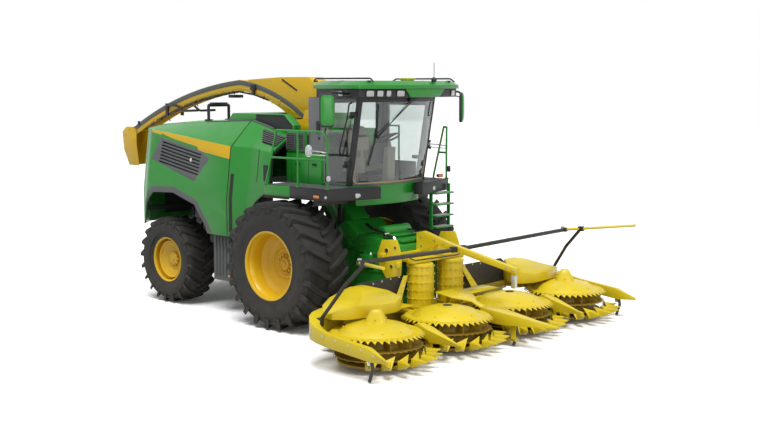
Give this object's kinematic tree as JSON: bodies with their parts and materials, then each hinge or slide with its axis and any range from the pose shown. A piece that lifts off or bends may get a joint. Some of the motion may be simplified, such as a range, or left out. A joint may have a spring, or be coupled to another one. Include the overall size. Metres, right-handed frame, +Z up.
{
  "type": "self-propelled forage harvester with row-independent maize header",
  "caption": "Forage harvester with steered rear wheels, glazed cab, slewing arched spout and a lifting rotary maize header with toothed rotors and dividers.",
  "frame": {"origin": "on the ground, in the middle of the machine's outline", "axes": "+X forward along the machine, +Y to the driver's left, +Z up"},
  "size_m": [10.49, 6.2278, 4.245],
  "materials": {
    "green_paint": "gloss",
    "yellow_paint": "gloss",
    "graphite_paint": "satin",
    "grey_paint": "satin",
    "black_paint": "satin",
    "chrome_rod": "polished",
    "tyre": "matte",
    "rubber": "matte",
    "plastic": "matte",
    "glass": "clear",
    "seat_cloth": "woven"
  },
  "bodies": {
    "machine": {"chassis": "graphite_paint", "service_boxes": "graphite_paint", "intake_housing": "graphite_paint", "rear_hitch": "graphite_paint", "walkways": "graphite_paint", "crop_unit": "graphite_paint", "engine": "graphite_paint", "rear_panel": "green_paint", "hood_top": "green_paint", "mid_panels": "green_paint", "fenders": "green_paint", "cabinets": "green_paint", "cab_floor": "green_paint", "cab_roof": "green_paint", "front_axle": "green_paint", "rear_axle": "green_paint", "rails_and_ladder": "green_paint", "cab_frame": "grey_paint", "spout_rest": "black_paint", "console": "plastic", "mirrors": "plastic", "lamp_band": "plastic", "cab_glass": "glass", "seat": "seat_cloth"},
    "front_wheel_right": {"tyre_front_right": "tyre", "rim_front_right": "yellow_paint"},
    "front_wheel_left": {"tyre_front_left": "tyre", "rim_front_left": "yellow_paint"},
    "steer_right": {"knuckle_right": "graphite_paint"},
    "steer_left": {"knuckle_left": "graphite_paint"},
    "rear_wheel_right": {"tyre_rear_right": "tyre", "rim_rear_right": "yellow_paint"},
    "rear_wheel_left": {"tyre_rear_left": "tyre", "rim_rear_left": "yellow_paint"},
    "side_door_right": {"side_panel_right": "green_paint", "grille_right": "graphite_paint"},
    "side_door_left": {"side_panel_left": "green_paint", "grille_left": "graphite_paint"},
    "cab_door": {"cab_door": "grey_paint", "door_glass": "glass"},
    "header": {"feeder_house": "green_paint", "header_frame": "yellow_paint", "header_fingers": "yellow_paint", "header_guards": "yellow_paint", "header_flaps": "rubber", "push_bars_and_feet": "black_paint", "push_tips": "yellow_paint"},
    "rotor_1": {"rotor_1": "yellow_paint"},
    "rotor_2": {"rotor_2": "yellow_paint"},
    "rotor_3": {"rotor_3": "yellow_paint"},
    "rotor_4": {"rotor_4": "yellow_paint"},
    "feed_drum_right": {"feed_drum_right": "yellow_paint"},
    "feed_drum_left": {"feed_drum_left": "yellow_paint"},
    "lift_barrels": {"lift_barrels": "graphite_paint"},
    "lift_rods": {"lift_rods": "chrome_rod"},
    "spout_base": {"spout_turret": "yellow_paint"},
    "spout": {"spout_arm": "yellow_paint"},
    "spout_flap": {"spout_flap": "yellow_paint"},
    "spout_barrel": {"spout_barrel": "graphite_paint"},
    "spout_rod": {"spout_rod": "chrome_rod"}
  },
  "joints": [
    {"name": "front_wheel_right_spin", "type": "hinge", "parent": "machine", "child": "front_wheel_right", "pos_m": [0.905, -1.345, 1.0371], "axis": [0, 1, 0], "continuous": true},
    {"name": "steer_right_swing", "type": "hinge", "parent": "machine", "child": "steer_right", "pos_m": [-2.262, -0.76, 0.77497], "axis": [0, 0, 1], "range_deg": [-38, 38]},
    {"name": "rear_wheel_right_spin", "type": "hinge", "parent": "steer_right", "child": "rear_wheel_right", "pos_m": [-2.262, -1.095, 0.77497], "axis": [0, 1, 0], "continuous": true},
    {"name": "side_door_right_swing", "type": "hinge", "parent": "machine", "child": "side_door_right", "pos_m": [-0.445, -1.45, 1.9], "axis": [0, 0, 1], "range_deg": [0, 70]},
    {"name": "feed_drum_right_spin", "type": "hinge", "parent": "header", "child": "feed_drum_right", "pos_m": [2.915, -0.362, 0.8], "axis": [0, 0, 1], "continuous": true},
    {"name": "front_wheel_left_spin", "type": "hinge", "parent": "machine", "child": "front_wheel_left", "pos_m": [0.905, 1.345, 1.0371], "axis": [0, 1, 0], "continuous": true},
    {"name": "steer_left_swing", "type": "hinge", "parent": "machine", "child": "steer_left", "pos_m": [-2.262, 0.76, 0.77497], "axis": [0, 0, 1], "range_deg": [-38, 38]},
    {"name": "rear_wheel_left_spin", "type": "hinge", "parent": "steer_left", "child": "rear_wheel_left", "pos_m": [-2.262, 1.095, 0.77497], "axis": [0, 1, 0], "continuous": true},
    {"name": "side_door_left_swing", "type": "hinge", "parent": "machine", "child": "side_door_left", "pos_m": [-0.445, 1.45, 1.9], "axis": [0, 0, -1], "range_deg": [0, 70]},
    {"name": "feed_drum_left_spin", "type": "hinge", "parent": "header", "child": "feed_drum_left", "pos_m": [2.915, 0.362, 0.8], "axis": [0, 0, 1], "continuous": true},
    {"name": "cab_door_swing", "type": "hinge", "parent": "machine", "child": "cab_door", "pos_m": [1.023, 0.906, 2.9], "axis": [0, 0, 1], "range_deg": [0, 75]},
    {"name": "header_lift", "type": "hinge", "parent": "machine", "child": "header", "pos_m": [1.465, 0, 1.33], "axis": [0, -1, 0], "range_deg": [0, 16]},
    {"name": "lift_barrel_swing", "type": "hinge", "parent": "machine", "child": "lift_barrels", "pos_m": [1.115, 0, 0.68], "axis": [0, -1, 0], "range_deg": [-1, 14]},
    {"name": "lift_rod_slide", "type": "slide", "parent": "lift_barrels", "child": "lift_rods", "axis": [0.9945, 0, -0.1047], "range_m": [-0.005, 0.2]},
    {"name": "rotor_1_spin", "type": "hinge", "parent": "header", "child": "rotor_1", "pos_m": [3.79, -2.31, 0.3], "axis": [0, 0, 1], "continuous": true},
    {"name": "rotor_2_spin", "type": "hinge", "parent": "header", "child": "rotor_2", "pos_m": [3.79, -0.77, 0.3], "axis": [0, 0, 1], "continuous": true},
    {"name": "rotor_3_spin", "type": "hinge", "parent": "header", "child": "rotor_3", "pos_m": [3.79, 0.77, 0.3], "axis": [0, 0, 1], "continuous": true},
    {"name": "rotor_4_spin", "type": "hinge", "parent": "header", "child": "rotor_4", "pos_m": [3.79, 2.31, 0.3], "axis": [0, 0, 1], "continuous": true},
    {"name": "spout_slew", "type": "hinge", "parent": "machine", "child": "spout_base", "pos_m": [0.115, 0, 3.15], "axis": [0, 0, 1], "range_deg": [-100, 100]},
    {"name": "spout_lift", "type": "hinge", "parent": "spout_base", "child": "spout", "pos_m": [0.205, 0, 3.4], "axis": [0, 1, 0], "range_deg": [0, 30]},
    {"name": "spout_barrel_swing", "type": "hinge", "parent": "spout_base", "child": "spout_barrel", "pos_m": [-0.08, 0, 3.27], "axis": [0, 1, 0], "range_deg": [-1, 36]},
    {"name": "spout_rod_slide", "type": "slide", "parent": "spout_barrel", "child": "spout_rod", "axis": [-0.9006, 0, 0.4346], "range_m": [-0.005, 0.16]},
    {"name": "spout_flap_tilt", "type": "hinge", "parent": "spout", "child": "spout_flap", "pos_m": [-4.815, 0, 2.985], "axis": [0, 1, 0], "range_deg": [-25, 45]}
  ],
  "couplings": [
    {"joint": "steer_left_swing", "follows": "steer_right_swing", "ratio": 1},
    {"joint": "lift_barrel_swing", "follows": "header_lift", "ratio": 0.7254},
    {"joint": "lift_rod_slide", "follows": "header_lift", "m_per_rad": 0.65546},
    {"joint": "spout_barrel_swing", "follows": "spout_lift", "ratio": 1.1558},
    {"joint": "spout_rod_slide", "follows": "spout_lift", "m_per_rad": 0.28012},
    {"joint": "rotor_1_spin", "follows": "rotor_2_spin", "ratio": 1},
    {"joint": "rotor_3_spin", "follows": "rotor_2_spin", "ratio": -1},
    {"joint": "rotor_4_spin", "follows": "rotor_2_spin", "ratio": -1},
    {"joint": "feed_drum_left_spin", "follows": "feed_drum_right_spin", "ratio": -1}
  ]
}
